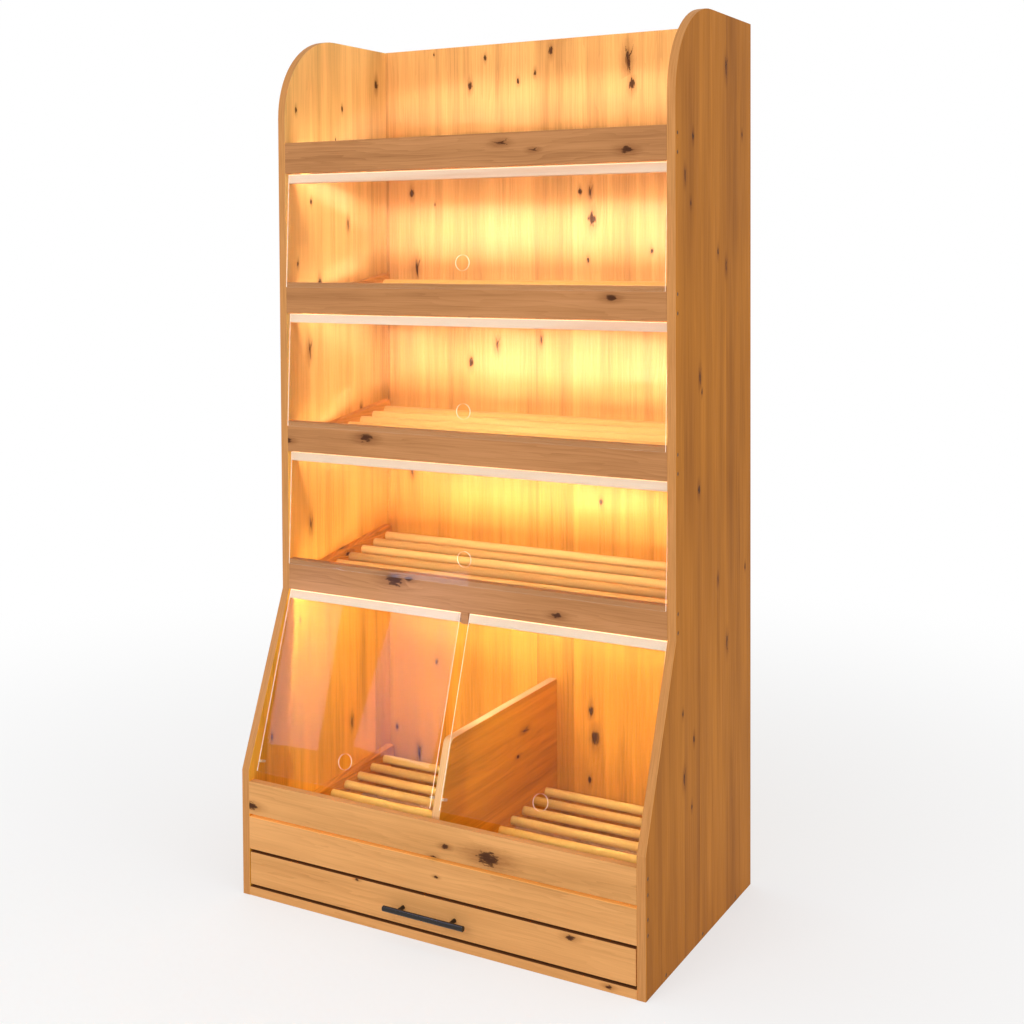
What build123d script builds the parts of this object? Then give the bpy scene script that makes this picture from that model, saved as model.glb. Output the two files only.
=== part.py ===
from build123d import *
from math import asin, atan2, cos, degrees, hypot, radians, sin, sqrt, tan
import os

# Bread display shelf: a floor-standing wooden case with an open top tray, three
# compartments behind lift-up clear flaps, two bread bins behind leaning flaps
# and a crumb drawer in the base. Its shelves and bins are open grilles of round
# rods, so that crumbs fall through.
#
# All sizes are in millimetres. X runs to the right from the middle, Y to the
# back from the front faces of the base boards, and Z up from the floor. The
# pieces are written with the origin under the middle of the whole outline.

# Case
case_width = 1000.0
case_depth = 600.0
board = 20.0
rail_count = 4
rail_height = 71.0
rail_pitch = 325.5
lowest_rail = 671.0
rail_set_back = 156.0
top_above_rail = 327.5
corner_radius = 200.0
eased_edge = 1.2

# Base
front_board_height = 74.0
front_board_gap = 6.5
slope_above_board = 24.5

# Rods and the bars that carry them
rod_diameter = 20.0
rod_in_bar = 10.0
rod_clearance = 0.1
rod_in_divider_clearance = 0.3
bar_thickness = 20.0
bar_height = 44.0
bar_duct_gap = 2.0

# Shelf grilles, low at the front
shelf_tilt = 8.0
shelf_rod_pitch = 54.5
shelf_first_rod = 41.0
shelf_rod_above_rail = 14.0
shelf_bar_ahead = 25.0

# Bin grille
bin_tilt = 3.5
bin_rod_pitch = 57.1
bin_first_rod = 47.0
bin_rod_above_board = 18.3
bin_bar_ahead = 40.0

# Flaps: a clear sheet on the front of a wooden strip that turns on two pins
sheet = 3.0
strip_height = 20.0
strip_depth = 15.0
pin_diameter = 5.0
pin_clearance = 0.05
pin_in_strip = 14.0
pin_in_panel = 8.0
pin_below_rail = 16.0
pin_below_strip_top = 13.0
pin_behind_sheet_face = 8.0
flap_side_gap = 2.0
flap_rest_clearance = 0.3
finger_hole = 34.0
finger_hole_up = 58.0

# Upper flaps
flap_pin_set_back = 17.0
flap_lap = 11.0

# Bin flaps, the divider between the bins and the block under the lowest rail
bin_pin_set_back = 6.0
bin_flap_set_back = 25.4
bin_flap_above_board = 16.5
divider_above_board = 152.5
divider_behind_sheet = 7.3
divider_corner = 18.0
hinge_block_width = 18.0
hinge_block_height = 25.5
pin_in_block = 6.0
stop_width = 7.0
stop_height = 5.0
stop_hold = 10.0
stop_up = 20.0

# Crumb drawer
drawer_front_side_gap = 2.0
drawer_box_above_front = 3.5
drawer_box_height = 60.0
drawer_driver_gap = 46.8
drawer_wall = 12.0
drawer_base = 6.0
drawer_base_up = 6.0
drawer_groove = 4.0
groove_clearance = 0.2

# Drawer runners, three nested members each side
runner_width = 12.7
runner_end_gap = 18.0
runner_height = 45.0
runner_metal = 1.2
runner_play = 0.5
runner_set_back = 2.0

# Handle
handle_bar_diameter = 12.0
handle_bar_length = 200.0
handle_reach = 30.0
handle_chamfer = 0.8
handle_spacing = 128.0
handle_post_diameter = 9.0
handle_screw_diameter = 4.0
handle_screw_head = 8.0
handle_screw_head_height = 2.5
handle_screw_in_post = 10.0

# Wood screws
screw_diameter = 4.0
screw_head = 8.5
screw_clearance = 0.05
screw_sink = 1.0
panel_screw_length = 50.0
bar_screw_length = 30.0
bar_screw_below_rods = 9.0
rail_screw_spacing = 39.0
board_screw_spacing = 32.0

# Lighting
led_width = 10.0
led_thickness = 2.0
led_end_gap = 25.0
led_above_rail_base = 12.0
lead_diameter = 3.0
lead_clearance = 0.6
lead_bend = 8.0
duct_side = 12.0
duct_wall = 1.2
driver_length = 150.0
driver_depth = 42.0
driver_height = 30.0
driver_from_duct = 24.0
driver_lead_diameter = 5.0
gland_diameter = 16.0
gland_flange = 22.0
gland_flange_thickness = 2.0
gland_bore = 7.0

# Lines that several pieces share
half = case_width / 2
inside = half - board
back_face = case_depth - board
rail_front = rail_set_back
rail_back = rail_set_back + board
rail_bases = [lowest_rail + (rail_count - 1 - k) * rail_pitch for k in range(rail_count)]
case_height = rail_bases[0] + top_above_rail
board_step = front_board_height + front_board_gap
drawer_z = board + front_board_gap
lower_board_z = drawer_z + board_step
bin_board_z = lower_board_z + board_step
bin_board_top = bin_board_z + front_board_height
slope_base = bin_board_top + slope_above_board
rod_radius = rod_diameter / 2
pin_radius = pin_diameter / 2
sheet_back = sheet - pin_behind_sheet_face
origin_back = (case_depth - handle_reach) / 2

# Grilles: where the first rod lies, the tilt, the pitch and the bar in front
bin_grille = (board + bin_first_rod, lower_board_z + bin_rod_above_board,
              bin_tilt, bin_rod_pitch, bin_bar_ahead)
shelf_grilles = [(rail_back + shelf_first_rod, z + shelf_rod_above_rail,
                  shelf_tilt, shelf_rod_pitch, shelf_bar_ahead) for z in rail_bases]


def block(x0, x1, y0, y1, z0, z1):
    """A square-edged piece between two corners."""
    middle = Pos((x0 + x1) / 2, (y0 + y1) / 2, (z0 + z1) / 2)
    return middle * Box(x1 - x0, y1 - y0, z1 - z0)


def eased(piece, *axes):
    """A piece with the edges that run along the given axes rounded by the sander."""
    edges = ShapeList([edge for axis in axes for edge in piece.edges().filter_by(axis)])
    return fillet(edges, eased_edge)


def round_x(x0, x1, y, z, radius):
    """A round bar along X."""
    return Pos((x0 + x1) / 2, y, z) * Rot(0, 90, 0) * Cylinder(radius, x1 - x0)


def round_y(y0, y1, x, z, radius):
    """A round bar along Y."""
    return Pos(x, (y0 + y1) / 2, z) * Rot(90, 0, 0) * Cylinder(radius, y1 - y0)


def group(solids):
    """Separate solids that share one node."""
    return Compound(children=list(solids))


def both_sides(piece):
    """A piece and its mirror image across the middle of the case."""
    return [piece, mirror(piece, about=Plane.YZ)]


# Screws. Each is drawn along -Z from the top of its head and then turned to its
# place; the hole has the same shape and is a little larger.

def screw(length):
    cone = (screw_head - screw_diameter) / 2
    head = Pos(0, 0, -cone / 2) * Cone(screw_diameter / 2, screw_head / 2, cone)
    shank = Pos(0, 0, -(cone + length) / 2) * Cylinder(screw_diameter / 2, length - cone)
    return head + shank


def screw_hole(length):
    cone = (screw_head - screw_diameter) / 2
    wide = screw_head / 2 + screw_clearance
    narrow = screw_diameter / 2 + screw_clearance
    head = Pos(0, 0, -cone / 2) * Cone(narrow, wide, cone)
    recess = Pos(0, 0, screw_sink / 2) * Cylinder(wide, screw_sink)
    shank = Pos(0, 0, -length / 2) * Cylinder(narrow, length + 2 * screw_clearance)
    return head + recess + shank


def screw_points():
    """Y and Z of the screws from each side panel into the rails and boards."""
    points = []
    for base in rail_bases:
        for s in (-1, 1):
            points.append((rail_front + board / 2, base + rail_height / 2 + s * rail_screw_spacing / 2))
    for base in (lower_board_z, bin_board_z):
        for s in (-1, 1):
            points.append((board / 2, base + front_board_height / 2 + s * board_screw_spacing / 2))
    for y in (case_depth / 6, case_depth / 2, case_depth * 5 / 6):
        points.append((y, board / 2))
    return points


def from_right(y, z, x):
    """The place of a screw that enters towards the middle with its head at x."""
    return Pos(x, y, z) * Rot(0, 90, 0)


def panel_screws_right(shape):
    return [from_right(y, z, half - screw_sink) * shape for y, z in screw_points()]


def panel_screw_holes(piece):
    """Cut the holes of the panel screws from a piece between the side panels."""
    hole = screw_hole(panel_screw_length)
    low, high = piece.bounding_box().min, piece.bounding_box().max
    for y, z in screw_points():
        if low.Y < y < high.Y and low.Z < z < high.Z:
            right = from_right(y, z, half - screw_sink) * hole
            piece = piece - right - mirror(right, about=Plane.YZ)
    return piece


# Grilles

def grille_place(grille):
    y, z, tilt, pitch, ahead = grille
    return Pos(0, y, z) * Rot(tilt, 0, 0)


def bar_length_behind(grille):
    """Length of the bar behind its first rod; its lower corner stays off the duct."""
    y, z, tilt, pitch, ahead = grille
    end = duct_front() - bar_duct_gap - bar_height / 2 * sin(radians(tilt))
    return (end - y) / cos(radians(tilt))


def rod_offsets(grille):
    """Distances of the rods from the first one, along the tilt."""
    pitch = grille[3]
    room = bar_length_behind(grille) - rod_diameter
    return [k * pitch for k in range(int(room / pitch) + 1)]


def rods(grille):
    reach = inside - bar_thickness + rod_in_bar
    place = grille_place(grille)
    return [place * round_x(-reach, reach, s, 0, rod_radius) for s in rod_offsets(grille)]


def bar_screw_offsets(grille):
    """The bar's screws go between the first two rods and the last two."""
    offsets = rod_offsets(grille)
    pitch = grille[3]
    return [offsets[0] + pitch / 2, offsets[-1] - pitch / 2]


def bar_screw_places(grille):
    """Places of the screws of the right bar, heads towards the middle."""
    x = inside - bar_thickness + screw_sink
    turn = Rot(0, -90, 0)
    place = grille_place(grille)
    return [place * Pos(x, s, -bar_screw_below_rods) * turn for s in bar_screw_offsets(grille)]


def bars(grille, with_lead):
    """The two side bars of a grille, the right one grooved for the LED lead."""
    ahead = grille[4]
    behind = bar_length_behind(grille)
    place = grille_place(grille)
    bar = block(inside - bar_thickness, inside, -ahead, behind, -bar_height / 2, bar_height / 2)
    mouth = inside - bar_thickness
    bar = fillet(bar.faces().sort_by(Axis.X)[0].edges(), eased_edge)
    for s in rod_offsets(grille):
        depth = rod_in_bar + rod_clearance
        bar -= round_x(mouth, mouth + depth, s, 0, rod_radius + rod_clearance)
    right = place * bar
    for spot in bar_screw_places(grille):
        right -= spot * screw_hole(bar_screw_length)
    left = mirror(right, about=Plane.YZ)
    if with_lead:
        wide = lead_diameter + 2 * lead_clearance
        up = lead_offset(grille)
        groove = block(lead_x() - wide / 2, inside, -ahead, behind, up - wide / 2, up + wide / 2)
        right -= place * groove
    return [right, left]


# Lighting: a tape on the back of each rail, fed from its right end

def lead_x():
    return inside - duct_wall - lead_clearance - lead_diameter / 2


def lead_y():
    return rail_back + lead_diameter / 2


def lead_offset(grille):
    """Height of the LED lead above the rods' centre line, square to the tilt."""
    y, z, tilt, pitch, ahead = grille
    led_z = z - shelf_rod_above_rail + led_above_rail_base
    fall = (y - lead_y()) * tan(radians(tilt))
    return (led_z - z + fall) * cos(radians(tilt))


def duct_front():
    return back_face - duct_side


def led_end():
    return inside - led_end_gap


def led_strip(base):
    z = base + led_above_rail_base
    return block(-led_end(), led_end(), rail_back, rail_back + led_thickness,
                 z - led_width / 2, z + led_width / 2)


def lead_run(base):
    """Z where the lead of one shelf reaches the duct, and where it ends."""
    rise = tan(radians(shelf_tilt))
    start = base + led_above_rail_base
    end_y = duct_front() + duct_side / 2
    return start, end_y, start + (end_y - lead_y()) * rise


def led_lead(base):
    z0, y1, z1 = lead_run(base)
    path = FilletPolyline((led_end(), lead_y(), z0), (lead_x(), lead_y(), z0),
                          (lead_x(), y1, z1), radius=lead_bend)
    section = Plane(origin=(led_end(), lead_y(), z0), z_dir=(1, 0, 0)) * Circle(lead_diameter / 2)
    return sweep(section, path=path)


def cable_duct():
    """Closed plastic duct up the rear right corner, with a hole for each lead."""
    top = max(lead_run(base)[2] for base in rail_bases) + duct_side
    duct = block(inside - duct_side, inside, duct_front(), back_face, board, top)
    duct -= block(inside - duct_side + duct_wall, inside - duct_wall, duct_front() + duct_wall,
                  back_face - duct_wall, board + duct_wall, top - duct_wall)
    for base in rail_bases:
        z0, y1, z1 = lead_run(base)
        z = z1 - (y1 - duct_front() - duct_wall / 2) * tan(radians(shelf_tilt))
        duct -= round_y(duct_front() - 1, duct_front() + duct_wall + 1, lead_x(), z,
                        lead_diameter / 2 + lead_clearance / 2)
    hole_y = duct_front() + duct_side / 2
    duct -= round_x(inside - duct_side - 1, inside - duct_side + duct_wall + 1, hole_y,
                    board + driver_height / 2, driver_lead_diameter / 2 + lead_clearance / 2)
    return duct


def driver_right():
    return inside - duct_side - driver_from_duct


def driver_y():
    return (back_face - driver_depth - duct_wall, back_face - duct_wall)


def led_driver():
    y0, y1 = driver_y()
    return block(driver_right() - driver_length, driver_right(), y0, y1, board, board + driver_height)


def driver_lead():
    """Lead from the power supply into the duct."""
    y = duct_front() + duct_side / 2
    return round_x(driver_right(), inside - duct_side / 2, y, board + driver_height / 2,
                   driver_lead_diameter / 2)


def gland_x():
    """The mains cable enters beside the power supply."""
    return driver_right() - driver_length - gland_flange


def gland_z():
    return board + driver_height / 2


def cable_gland():
    body = round_y(back_face, case_depth, gland_x(), gland_z(), gland_diameter / 2)
    body += round_y(back_face - gland_flange_thickness, back_face, gland_x(), gland_z(), gland_flange / 2)
    return body - round_y(back_face - gland_flange_thickness - 1, case_depth + 1,
                          gland_x(), gland_z(), gland_bore / 2)


# Flaps. A flap is drawn in its own frame, hanging straight down from the pin's
# axis, and then turned by its lean about that axis.

def upper_pin(k):
    """Y and Z of the pins of the flap under rail k."""
    return rail_front + flap_pin_set_back, rail_bases[k] - pin_below_rail


def upper_lean():
    """Lean at which the sheet's back rests on the top front edge of the rail below."""
    down = rail_pitch - rail_height - pin_below_rail
    offset = sheet_back + flap_rest_clearance
    return degrees(atan2(flap_pin_set_back, down) + asin(offset / hypot(flap_pin_set_back, down)))


def upper_drop():
    """Length of sheet below the pin, to lap over the rail below."""
    down = rail_pitch - rail_height - pin_below_rail + flap_lap
    return (down + pin_behind_sheet_face * sin(radians(upper_lean()))) / cos(radians(upper_lean()))


def bin_pin():
    return rail_front + bin_pin_set_back, lowest_rail - pin_below_rail


def bin_reach():
    """From the pin to the lower front corner of a bin flap: forward and down."""
    y, z = bin_pin()
    return y - bin_flap_set_back, z - bin_board_top - bin_flap_above_board


def bin_drop():
    forward, down = bin_reach()
    return sqrt(forward ** 2 + down ** 2 - pin_behind_sheet_face ** 2)


def bin_lean():
    forward, down = bin_reach()
    return degrees(atan2(forward, down) - atan2(pin_behind_sheet_face, bin_drop()))


def flap_place(pin, lean):
    return Pos(0, pin[0], pin[1]) * Rot(-lean, 0, 0)


def flap_strip(x0, x1, place):
    top = pin_below_strip_top
    strip = block(x0, x1, sheet_back, sheet_back + strip_depth, top - strip_height, top)
    for mouth, s in ((x0, 1), (x1, -1)):
        inner = mouth + s * (pin_in_strip + pin_clearance)
        strip -= round_x(min(mouth, inner), max(mouth, inner), 0, 0, pin_radius + pin_clearance / 2)
    return place * strip


def flap_sheet(x0, x1, drop, place):
    front = -pin_behind_sheet_face
    panel = block(x0, x1, front, sheet_back, -drop, pin_below_strip_top)
    panel -= round_y(front - 1, sheet_back + 1, (x0 + x1) / 2, finger_hole_up - drop, finger_hole / 2)
    return place * panel


def flap_pins(x0, x1, seat0, seat1, place):
    """Two pins, each from inside the strip to its seat beyond the strip's end."""
    return [place * round_x(seat0, x0 + pin_in_strip, 0, 0, pin_radius),
            place * round_x(x1 - pin_in_strip, seat1, 0, 0, pin_radius)]


def pin_end():
    """X where the pins in the side panels end, just short of the hole's floor."""
    return inside + pin_in_panel - 0.5


# Case

def side_profile():
    """Side panel outline: upright base, sloping front, rounded top corner."""
    arc_base = case_height - corner_radius
    arc_back = rail_front + corner_radius
    back = Polyline((0, 0), (case_depth, 0), (case_depth, case_height), (arc_back, case_height))
    turn = ThreePointArc((arc_back, case_height), (rail_front + corner_radius * (1 - sqrt(0.5)),
                         arc_base + corner_radius * sqrt(0.5)), (rail_front, arc_base))
    front = Polyline((rail_front, arc_base), (rail_front, lowest_rail), (0, slope_base), (0, 0))
    return Plane.YZ * make_face([*back.edges(), *turn.edges(), *front.edges()])


def side_panel_right():
    panel = Pos(inside, 0, 0) * extrude(side_profile(), board)
    faces = panel.faces().sort_by(Axis.X)
    panel = fillet(faces[0].edges() + faces[-1].edges(), eased_edge)
    for hole in panel_screws_right(screw_hole(panel_screw_length)):
        panel -= hole
    for y, z in [upper_pin(k) for k in range(rail_count - 1)] + [bin_pin()]:
        panel -= round_x(inside, inside + pin_in_panel, y, z, pin_radius + pin_clearance)
    for grille in shelf_grilles + [bin_grille]:
        for place in bar_screw_places(grille):
            panel -= place * screw_hole(bar_screw_length)
    return panel


def back_panel():
    panel = block(-inside, inside, back_face, case_depth, 0, case_height)
    return panel - round_y(back_face - 1, case_depth + 1, gland_x(), gland_z(),
                           gland_diameter / 2 + screw_clearance)


def front_rail(base):
    rail = block(-inside, inside, rail_front, rail_back, base, base + rail_height)
    return panel_screw_holes(eased(rail, Axis.X))


def base_board(z):
    return panel_screw_holes(eased(block(-inside, inside, 0, board, z, z + front_board_height), Axis.X))


def bottom_board():
    slab = block(-inside, inside, 0, back_face, 0, board)
    front = slab.edges().filter_by(Axis.X).sort_by(Axis.Y)[:2]
    return panel_screw_holes(fillet(front, eased_edge))


def hinge_block():
    w = hinge_block_width / 2
    piece = block(-w, w, rail_front, rail_back, lowest_rail - hinge_block_height, lowest_rail)
    piece = eased(piece, Axis.Z)
    y, z = bin_pin()
    for x0, x1 in ((-w, pin_in_block - w), (w - pin_in_block, w)):
        piece -= round_x(x0, x1, y, z, pin_radius + pin_clearance)
    return piece


def divider_front(z):
    """Y of the divider's sloping front edge, parallel to the bin flaps."""
    y, pin_z = bin_pin()
    lean = radians(bin_lean())
    offset = sheet_back + divider_behind_sheet
    return y + (offset + (z - pin_z) * sin(lean)) / cos(lean)


def grille_line(grille, y, above):
    """Z above or below a grille's rod centres at a given Y, square to the tilt."""
    slope = radians(grille[2])
    return grille[1] + (y - grille[0]) * tan(slope) + above / cos(slope)


def centre_divider():
    top = bin_board_top + divider_above_board
    front = divider_front(bin_board_top)
    below = -bar_height / 2
    outline = Polyline((front, grille_line(bin_grille, front, below)),
                       (back_face, grille_line(bin_grille, back_face, below)),
                       (back_face, top), (divider_front(top), top),
                       (front, bin_board_top), close=True)
    plate = Pos(-board / 2, 0, 0) * extrude(Plane.YZ * make_face(outline), board)
    corner = plate.edges().filter_by(Axis.X).group_by(Axis.Z)[-1].sort_by(Axis.Y)[0]
    plate = fillet(corner, divider_corner)
    faces = plate.faces().sort_by(Axis.X)
    plate = fillet(faces[0].edges() + faces[-1].edges(), eased_edge)
    place = grille_place(bin_grille)
    radius = rod_radius + rod_in_divider_clearance
    for s in rod_offsets(bin_grille):
        plate -= place * round_x(-board, board, s, 0, radius)
    return plate


def bin_flap_stops():
    """Small blocks beside the bins that the flaps lean back on."""
    place = flap_place(bin_pin(), bin_lean())
    y0 = sheet_back + flap_rest_clearance
    y1 = sheet_back + divider_behind_sheet + stop_hold
    z0 = stop_up - bin_drop()
    stops = []
    for x0, x1 in ((board / 2, board / 2 + stop_width), (inside - stop_width, inside)):
        stops += both_sides(place * block(x0, x1, y0, y1, z0, z0 + stop_height))
    return stops


# Crumb drawer

def drawer_box():
    """Outer X, base and top of the drawer box, and its back face."""
    z = drawer_z + drawer_box_above_front
    end = driver_y()[0] - drawer_driver_gap
    return inside - runner_width, z, z + drawer_box_height, end


def drawer_base_slab(grow):
    x, z0, z1, y1 = drawer_box()
    wide = x - drawer_wall + drawer_groove + grow
    z = z0 + drawer_base_up
    return block(-wide, wide, board - drawer_groove - grow, y1 - drawer_wall + drawer_groove + grow,
                 z - grow, z + drawer_base + grow)


def drawer_side_right():
    x, z0, z1, y1 = drawer_box()
    return block(x - drawer_wall, x, board, y1, z0, z1) - drawer_base_slab(groove_clearance)


def drawer_back():
    x, z0, z1, y1 = drawer_box()
    wide = x - drawer_wall
    return block(-wide, wide, y1 - drawer_wall, y1, z0, z1) - drawer_base_slab(groove_clearance)


def drawer_front():
    wide = inside - drawer_front_side_gap
    front = eased(block(-wide, wide, 0, board, drawer_z, drawer_z + front_board_height), Axis.X, Axis.Z)
    front -= drawer_base_slab(groove_clearance)
    for x in handle_posts_x():
        front -= round_y(-1, board + 1, x, handle_z(), handle_screw_diameter / 2 + screw_clearance)
    return front


def channel(x_web, x_edge, half_height):
    """One member of a runner: a flat web with a flange above and below."""
    x, z0, z1, end = drawer_box()
    z = (z0 + z1) / 2
    y0 = board + runner_set_back
    y1 = end - runner_end_gap
    s = 1 if x_edge > x_web else -1
    web = block(min(x_web, x_web + s * runner_metal), max(x_web, x_web + s * runner_metal),
                y0, y1, z - half_height, z + half_height)
    for side in (-1, 1):
        edge = z + side * half_height
        inner = edge - side * runner_metal
        web += block(min(x_web, x_edge), max(x_web, x_edge), y0, y1, min(edge, inner), max(edge, inner))
    return web


def runner_fixed():
    return channel(inside, inside - runner_width + 3 * runner_metal, runner_height / 2)


def runner_mid():
    step = runner_metal + runner_play
    return channel(inside - 2 * step, inside - runner_width + 2 * runner_metal, runner_height / 2 - step)


def runner_inner():
    step = runner_metal + runner_play
    x = inside - runner_width
    return channel(x, inside - 2 * step - runner_metal - runner_play, runner_height / 2 - 2 * step)


def handle_z():
    return drawer_z + front_board_height / 2


def handle_posts_x():
    return (-handle_spacing / 2, handle_spacing / 2)


def handle_bar():
    y = handle_bar_diameter / 2 - handle_reach
    bar = round_x(-handle_bar_length / 2, handle_bar_length / 2, y, handle_z(), handle_bar_diameter / 2)
    ends = bar.faces().sort_by(Axis.X)
    return chamfer(ends[0].edges() + ends[-1].edges(), handle_chamfer)


def handle_posts():
    posts = []
    for x in handle_posts_x():
        post = round_y(handle_bar_diameter / 2 - handle_reach, 0, x, handle_z(), handle_post_diameter / 2)
        post -= handle_bar()
        thread = round_y(-handle_screw_in_post - 1, 0, x, handle_z(), handle_screw_diameter / 2 + screw_clearance)
        posts.append(post - thread)
    return posts


def handle_screws():
    screws = []
    for x in handle_posts_x():
        shank = round_y(-handle_screw_in_post, board, x, handle_z(), handle_screw_diameter / 2)
        head = round_y(board, board + handle_screw_head_height, x, handle_z(), handle_screw_head / 2)
        screws.append(shank + head)
    return screws


# All pieces, by node

side = side_panel_right()
drawer_side = drawer_side_right()
nodes = {
    "side_panel_right": side,
    "side_panel_left": mirror(side, about=Plane.YZ),
    "back_panel": back_panel(),
    "bottom_board": bottom_board(),
    "lower_front_board": base_board(lower_board_z),
    "bin_front_board": base_board(bin_board_z),
    "centre_divider": centre_divider(),
    "hinge_block": hinge_block(),
    "bin_bars": group(bars(bin_grille, False)),
    "bin_rods": group(rods(bin_grille)),
    "bin_flap_stops": group(bin_flap_stops()),
    "cable_duct": cable_duct(),
    "led_driver": led_driver(),
    "cable_gland": cable_gland(),
    "led_leads": group([led_lead(z) for z in rail_bases] + [driver_lead()]),
    "drawer_front": drawer_front(),
    "drawer_side_right": drawer_side,
    "drawer_side_left": mirror(drawer_side, about=Plane.YZ),
    "drawer_back": drawer_back(),
    "drawer_bottom": drawer_base_slab(0),
    "handle_bar": handle_bar(),
    "handle_posts": group(handle_posts()),
    "handle_screws": group(handle_screws()),
    "runner_fixed": group(both_sides(runner_fixed())),
    "runner_mid": group(both_sides(runner_mid())),
    "runner_inner": group(both_sides(runner_inner())),
}

# One rail, light, grille and pair of bars for each shelf, numbered from the top
for k, base in enumerate(rail_bases):
    nodes[f"front_rail_{k + 1}"] = front_rail(base)
    nodes[f"led_strip_{k + 1}"] = led_strip(base)
    nodes[f"shelf_bars_{k + 1}"] = group(bars(shelf_grilles[k], True))
    nodes[f"shelf_rods_{k + 1}"] = group(rods(shelf_grilles[k]))

# Upper flaps
reach = inside - flap_side_gap
for k in range(rail_count - 1):
    place = flap_place(upper_pin(k), upper_lean())
    nodes[f"flap_strip_{k + 1}"] = flap_strip(-reach, reach, place)
    nodes[f"flap_panel_{k + 1}"] = flap_sheet(-reach, reach, upper_drop(), place)
    nodes[f"flap_pins_{k + 1}"] = group(flap_pins(-reach, reach, -pin_end(), pin_end(), place))

# Bin flaps
near = board / 2 + flap_side_gap
block_end = hinge_block_width / 2 - pin_in_block + 0.5
place = flap_place(bin_pin(), bin_lean())
for name, s in (("left", -1), ("right", 1)):
    x0, x1 = sorted((s * near, s * reach))
    seat0, seat1 = sorted((s * block_end, s * pin_end()))
    nodes[f"bin_flap_strip_{name}"] = flap_strip(x0, x1, place)
    nodes[f"bin_flap_panel_{name}"] = flap_sheet(x0, x1, bin_drop(), place)
    nodes[f"bin_flap_pins_{name}"] = group(flap_pins(x0, x1, seat0, seat1, place))

# Screws
right_screws = panel_screws_right(screw(panel_screw_length))
nodes["panel_screws"] = group(s for piece in right_screws for s in both_sides(piece))
bar_screw = screw(bar_screw_length)
bar_screws = [p * bar_screw for g in shelf_grilles + [bin_grille] for p in bar_screw_places(g)]
nodes["bar_screws"] = group(s for piece in bar_screws for s in both_sides(piece))

os.makedirs("parts", exist_ok=True)
for name, piece in nodes.items():
    export_step(Pos(0, -origin_back, 0) * piece, f"parts/{name}.step")
print(len(nodes), "nodes; flap leans", round(upper_lean(), 3), round(bin_lean(), 3))
print("flap drops", round(upper_drop(), 2), round(bin_drop(), 2))
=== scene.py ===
# %% [markdown]
# # Bread display shelf
#
# A shop shelf for bread: knotty softwood boards, grilles of round rods, clear
# flaps and warm strip lights behind each rail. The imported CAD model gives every
# piece its place and size. This script gives the pieces their finish and makes
# anew those that need a finer shape, and then sets up the light and the camera.

# %% Load the frame
import math

import bmesh
import bpy
from mathutils import Matrix, Vector


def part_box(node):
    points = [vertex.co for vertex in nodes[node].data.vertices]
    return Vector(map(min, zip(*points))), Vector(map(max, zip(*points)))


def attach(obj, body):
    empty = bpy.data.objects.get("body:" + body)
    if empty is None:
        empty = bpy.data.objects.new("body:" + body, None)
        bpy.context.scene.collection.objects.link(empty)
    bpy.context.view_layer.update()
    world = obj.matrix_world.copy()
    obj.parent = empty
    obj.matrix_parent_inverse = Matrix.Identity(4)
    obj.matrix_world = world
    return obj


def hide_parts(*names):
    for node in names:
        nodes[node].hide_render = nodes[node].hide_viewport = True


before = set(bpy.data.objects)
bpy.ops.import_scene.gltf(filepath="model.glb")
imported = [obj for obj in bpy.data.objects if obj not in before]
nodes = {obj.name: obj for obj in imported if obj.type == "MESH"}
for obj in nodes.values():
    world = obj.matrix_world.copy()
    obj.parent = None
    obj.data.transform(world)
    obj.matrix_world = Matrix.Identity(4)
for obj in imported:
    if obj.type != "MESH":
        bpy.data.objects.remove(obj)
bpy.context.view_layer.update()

# %% [markdown]
# The photograph was taken standing, a little to the right of the shelf, with the
# camera almost level and its frame shifted, so that upright edges stay upright.
# The shift is part of the lens here too, because turning the camera down instead
# would make the sides lean in.

# %% Camera
frame_px = 1024.0
lens_px = 1453.73
lens_centre_px = (497.0, 291.59)
standpoint = (1.62307, -2.85245, 1.47826)
azimuth, elevation, roll = (math.radians(angle) for angle in (29.43, -1.84, -0.31))

camera_data = bpy.data.cameras.new("camera")
camera = bpy.data.objects.new("camera", camera_data)
bpy.context.collection.objects.link(camera)
bpy.context.scene.camera = camera
camera_data.sensor_width = 36.0
camera_data.lens = lens_px / frame_px * camera_data.sensor_width
camera_data.shift_x = (frame_px / 2 - lens_centre_px[0]) / frame_px
camera_data.shift_y = (lens_centre_px[1] - frame_px / 2) / frame_px
camera_data.clip_start = 0.05
camera_data.clip_end = 60.0

forward = Vector((-math.sin(azimuth) * math.cos(elevation),
                  math.cos(azimuth) * math.cos(elevation),
                  math.sin(elevation)))
level_right = forward.cross(Vector((0, 0, 1))).normalized()
level_up = level_right.cross(forward)
right = math.cos(roll) * level_right + math.sin(roll) * level_up
up = math.cos(roll) * level_up - math.sin(roll) * level_right
turn = Matrix((right, up, -forward)).transposed().to_4x4()
camera.matrix_world = Matrix.Translation(standpoint) @ turn
print("lens", round(camera_data.lens, 2), "mm")

# %% [markdown]
# The boards are softwood with an oiled surface. What makes such wood look real is
# that several things happen at different sizes: whole staves differ in colour,
# growth rings run along the grain and swell round knots, fine fibres streak the
# surface, and dark knots sit here and there. All of them follow the grain, so one
# pattern is built in coordinates of "along the grain" and "across the grain" and
# used for every board, turned to suit. A material like that has many nodes, so
# the sums between them get short names first.

# %% Node helpers


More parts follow.
